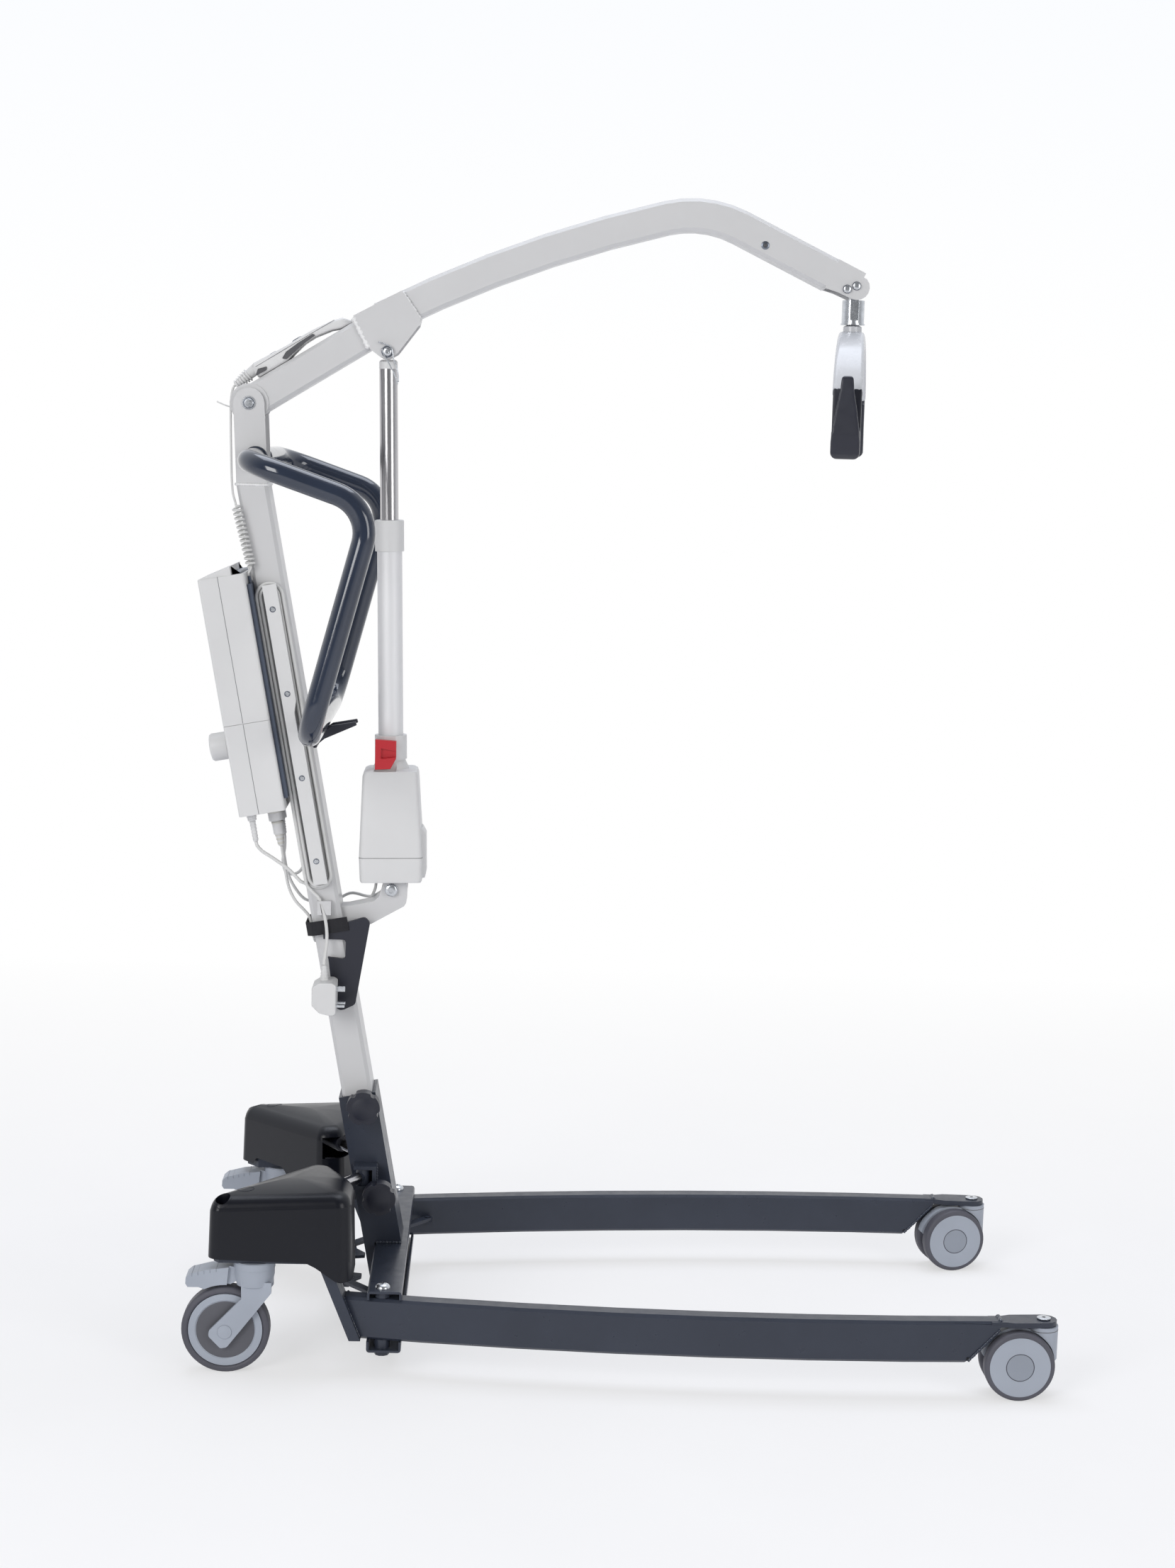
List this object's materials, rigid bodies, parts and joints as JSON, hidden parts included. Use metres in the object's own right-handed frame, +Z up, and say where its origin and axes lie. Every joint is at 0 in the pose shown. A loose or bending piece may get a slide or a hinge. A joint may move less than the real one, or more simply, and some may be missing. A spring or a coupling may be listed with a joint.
{
  "type": "patient lift",
  "caption": "Wheeled patient lift: spreading legs on castors, tilted mast with push handle, boom raised by an electric actuator, spreader bar with sling hooks, handset and control box.",
  "frame": {"origin": "centre of the bounding box's bottom face, on the floor under the lift, free leads left out", "axes": "+X forward along the legs, +Y to the lift's left, +Z up"},
  "size_m": [1.2432, 0.644, 1.6681],
  "materials": {
    "frame_grey": "satin powder coat",
    "paint_white": "satin powder coat",
    "cover_black": "satin moulded",
    "handle_blue": "gloss",
    "zinc": "zinc plated",
    "chrome": "polished",
    "aluminium": "satin anodised",
    "castor_grey": "satin moulded",
    "tyre_grey": "matte",
    "box_grey": "fine texture",
    "plate_blue": "matte",
    "black": "fine texture",
    "red": "satin",
    "lead_grey": "matte sheath",
    "webbing": "woven"
  },
  "bodies": {
    "base": {"upper_crossbar": "frame_grey", "lower_crossbar": "frame_grey", "mast_socket": "frame_grey"},
    "near_leg": {"near_leg": "frame_grey", "near_castor_cover": "cover_black"},
    "near_strut": {"near_strut_cylinder": "black"},
    "near_link": {"near_link": "frame_grey"},
    "near_rear_fork": {"near_rear_fork": "castor_grey"},
    "near_rear_wheel": {"near_rear_wheel": "castor_grey", "near_rear_tyre": "tyre_grey"},
    "near_brake": {"near_brake_pedal": "castor_grey"},
    "near_front_castor": {"near_front_castor": "castor_grey"},
    "near_front_wheels": {"near_front_inner_wheel": "castor_grey", "near_front_outer_wheel": "castor_grey"},
    "far_leg": {"far_leg": "frame_grey", "far_castor_cover": "cover_black"},
    "far_strut": {"far_strut_cylinder": "black"},
    "far_link": {"far_link": "frame_grey"},
    "far_rear_fork": {"far_rear_fork": "castor_grey"},
    "far_rear_wheel": {"far_rear_wheel": "castor_grey", "far_rear_tyre": "tyre_grey"},
    "far_brake": {"far_brake_pedal": "castor_grey"},
    "far_front_castor": {"far_front_castor": "castor_grey"},
    "far_front_wheels": {"far_front_inner_wheel": "castor_grey", "far_front_outer_wheel": "castor_grey"},
    "yoke": {"spreader_yoke": "frame_grey"},
    "upper_knob": {"upper_knob": "black"},
    "lower_knob": {"lower_knob": "black"},
    "mast": {"mast": "paint_white", "boom_pivot_bolt": "zinc", "push_handle": "handle_blue", "bar_rest_hook": "black", "box_back_plate": "plate_blue", "control_box": "box_grey", "cable_holder": "box_grey", "transport_plate": "black", "holding_strap": "webbing", "mains_hank": "lead_grey", "mains_lead": "lead_grey", "plug_lead": "lead_grey", "mains_plug": "box_grey", "curly_cord": "lead_grey", "handset_lead": "lead_grey", "motor_cable": "lead_grey", "signal_cable": "lead_grey", "handset_cable": "lead_grey"},
    "boom": {"boom": "paint_white", "handset": "box_grey"},
    "actuator": {"actuator_housing": "box_grey", "actuator_tube": "aluminium"},
    "rod": {"actuator_rod": "chrome"},
    "catch": {"release_catch": "red"},
    "stop_button": {"stop_button": "box_grey"},
    "battery": {"battery_pack": "box_grey"},
    "hanger": {"hanger": "zinc"},
    "spreader": {"spreader_bar": "paint_white", "near_sling_hook": "black", "far_sling_hook": "black"},
    "up_button": {"handset_up_button": "plate_blue"},
    "down_button": {"handset_down_button": "plate_blue"}
  },
  "joints": [
    {"name": "near_leg_spread", "type": "hinge", "parent": "base", "child": "near_leg", "pos_m": [-0.3327, -0.24355, 0], "axis": [0, 0, -1], "range_deg": [0, 14]},
    {"name": "near_strut_stroke", "type": "slide", "parent": "base", "child": "near_strut", "axis": [0.521, 0.8536, 0], "range_m": [0, 0.0325]},
    {"name": "near_rear_swivel", "type": "hinge", "parent": "near_leg", "child": "near_rear_fork", "pos_m": [-0.5147, -0.24055, 0], "axis": [0, 0, 1], "continuous": true},
    {"name": "near_rear_wheel_spin", "type": "hinge", "parent": "near_rear_fork", "child": "near_rear_wheel", "pos_m": [-0.5537, -0.24055, 0.0625], "axis": [0, 1, 0], "continuous": true},
    {"name": "near_brake", "type": "hinge", "parent": "near_rear_fork", "child": "near_brake", "pos_m": [-0.5362, -0.24055, 0.144], "axis": [0, -1, 0], "range_deg": [0, 5], "stiffness_Nm_per_rad": 4, "springref_deg": -5.73},
    {"name": "near_front_swivel", "type": "hinge", "parent": "near_leg", "child": "near_front_castor", "pos_m": [0.6009, -0.29203, 0], "axis": [0, 0, 1], "continuous": true},
    {"name": "near_front_wheel_spin", "type": "hinge", "parent": "near_front_castor", "child": "near_front_wheels", "pos_m": [0.5649, -0.29203, 0.05], "axis": [0, 1, 0], "continuous": true},
    {"name": "far_leg_spread", "type": "hinge", "parent": "base", "child": "far_leg", "pos_m": [-0.3327, 0.24245, 0], "axis": [0, 0, 1], "range_deg": [0, 14]},
    {"name": "far_strut_stroke", "type": "slide", "parent": "base", "child": "far_strut", "axis": [0.521, -0.8536, 0], "range_m": [0, 0.0325]},
    {"name": "far_rear_swivel", "type": "hinge", "parent": "far_leg", "child": "far_rear_fork", "pos_m": [-0.5147, 0.23945, 0], "axis": [0, 0, 1], "continuous": true},
    {"name": "far_rear_wheel_spin", "type": "hinge", "parent": "far_rear_fork", "child": "far_rear_wheel", "pos_m": [-0.5537, 0.23945, 0.0625], "axis": [0, 1, 0], "continuous": true},
    {"name": "far_brake", "type": "hinge", "parent": "far_rear_fork", "child": "far_brake", "pos_m": [-0.5362, 0.23945, 0.144], "axis": [0, -1, 0], "range_deg": [0, 5], "stiffness_Nm_per_rad": 4, "springref_deg": -5.73},
    {"name": "far_front_swivel", "type": "hinge", "parent": "far_leg", "child": "far_front_castor", "pos_m": [0.6009, 0.29093, 0], "axis": [0, 0, 1], "continuous": true},
    {"name": "far_front_wheel_spin", "type": "hinge", "parent": "far_front_castor", "child": "far_front_wheels", "pos_m": [0.5655, 0.28437, 0.05], "axis": [-0.1822, 0.9833, 0], "continuous": true},
    {"name": "yoke_slide", "type": "slide", "parent": "base", "child": "yoke", "axis": [1, 0, 0], "range_m": [0, 0.021]},
    {"name": "near_link_turn", "type": "hinge", "parent": "yoke", "child": "near_link", "pos_m": [-0.3957, -0.08655, 0], "axis": [0, 0, -1], "range_deg": [0, 7]},
    {"name": "far_link_turn", "type": "hinge", "parent": "yoke", "child": "far_link", "pos_m": [-0.3957, 0.08545, 0], "axis": [0, 0, 1], "range_deg": [0, 7]},
    {"name": "upper_knob_turn", "type": "hinge", "parent": "base", "child": "upper_knob", "pos_m": [-0.3732, -0.00055, 0.3395], "axis": [0, 1, 0], "continuous": true},
    {"name": "lower_knob_turn", "type": "hinge", "parent": "base", "child": "lower_knob", "pos_m": [-0.3475, -0.00055, 0.2065], "axis": [0, 1, 0], "continuous": true},
    {"name": "mast_lift", "type": "slide", "parent": "base", "child": "mast", "axis": [-0.1814, 0, 0.9834], "range_m": [0, 0.2]},
    {"name": "boom_lift", "type": "hinge", "parent": "mast", "child": "boom", "pos_m": [-0.5545, -0.00055, 1.3614], "axis": [0, -1, 0], "range_deg": [-55, 12], "deforming": ["handset_lead"]},
    {"name": "actuator_swing", "type": "hinge", "parent": "mast", "child": "actuator", "pos_m": [-0.3397, -0.00055, 0.6572], "axis": [0, 1, 0], "range_deg": [-2.7, 1.1], "deforming": ["motor_cable", "signal_cable"]},
    {"name": "rod_slide", "type": "slide", "parent": "actuator", "child": "rod", "axis": [-0.0236, 0, 0.9997], "range_m": [-0.194, 0.043]},
    {"name": "catch_pull", "type": "slide", "parent": "actuator", "child": "catch", "axis": [-0.0236, 0, 0.9997], "range_m": [0, 0.008], "stiffness_N_per_m": 400, "springref_m": -0.004},
    {"name": "stop_press", "type": "slide", "parent": "mast", "child": "stop_button", "axis": [0.9834, 0, 0.1814], "range_m": [0, 0.005], "stiffness_N_per_m": 600, "springref_m": -0.003},
    {"name": "battery_lift", "type": "slide", "parent": "mast", "child": "battery", "axis": [-0.2832, 0, 0.9591], "range_m": [0, 0.08]},
    {"name": "hanger_swing", "type": "hinge", "parent": "boom", "child": "hanger", "pos_m": [0.3113, -0.00055, 1.5512], "axis": [0, -1, 0], "range_deg": [-22, 60]},
    {"name": "spreader_swivel", "type": "hinge", "parent": "hanger", "child": "spreader", "pos_m": [0.3113, -0.00055, 1.4967], "axis": [0, 0, 1], "continuous": true},
    {"name": "up_press", "type": "slide", "parent": "boom", "child": "up_button", "axis": [0.5284, 0, -0.849], "range_m": [0, 0.001], "stiffness_N_per_m": 800, "springref_m": -0.0008},
    {"name": "down_press", "type": "slide", "parent": "boom", "child": "down_button", "axis": [0.5284, 0, -0.849], "range_m": [0, 0.001], "stiffness_N_per_m": 800, "springref_m": -0.0008}
  ],
  "couplings": [
    {"joint": "near_strut_stroke", "follows": "near_leg_spread", "m_per_rad": 0.1306},
    {"joint": "far_strut_stroke", "follows": "near_leg_spread", "m_per_rad": 0.1306},
    {"joint": "far_leg_spread", "follows": "near_leg_spread", "ratio": 1},
    {"joint": "yoke_slide", "follows": "near_leg_spread", "m_per_rad": 0.0839},
    {"joint": "near_link_turn", "follows": "near_leg_spread", "ratio": 0.493},
    {"joint": "far_link_turn", "follows": "near_leg_spread", "ratio": 0.493},
    {"joint": "rod_slide", "follows": "boom_lift", "m_per_rad": 0.2012}
  ]
}
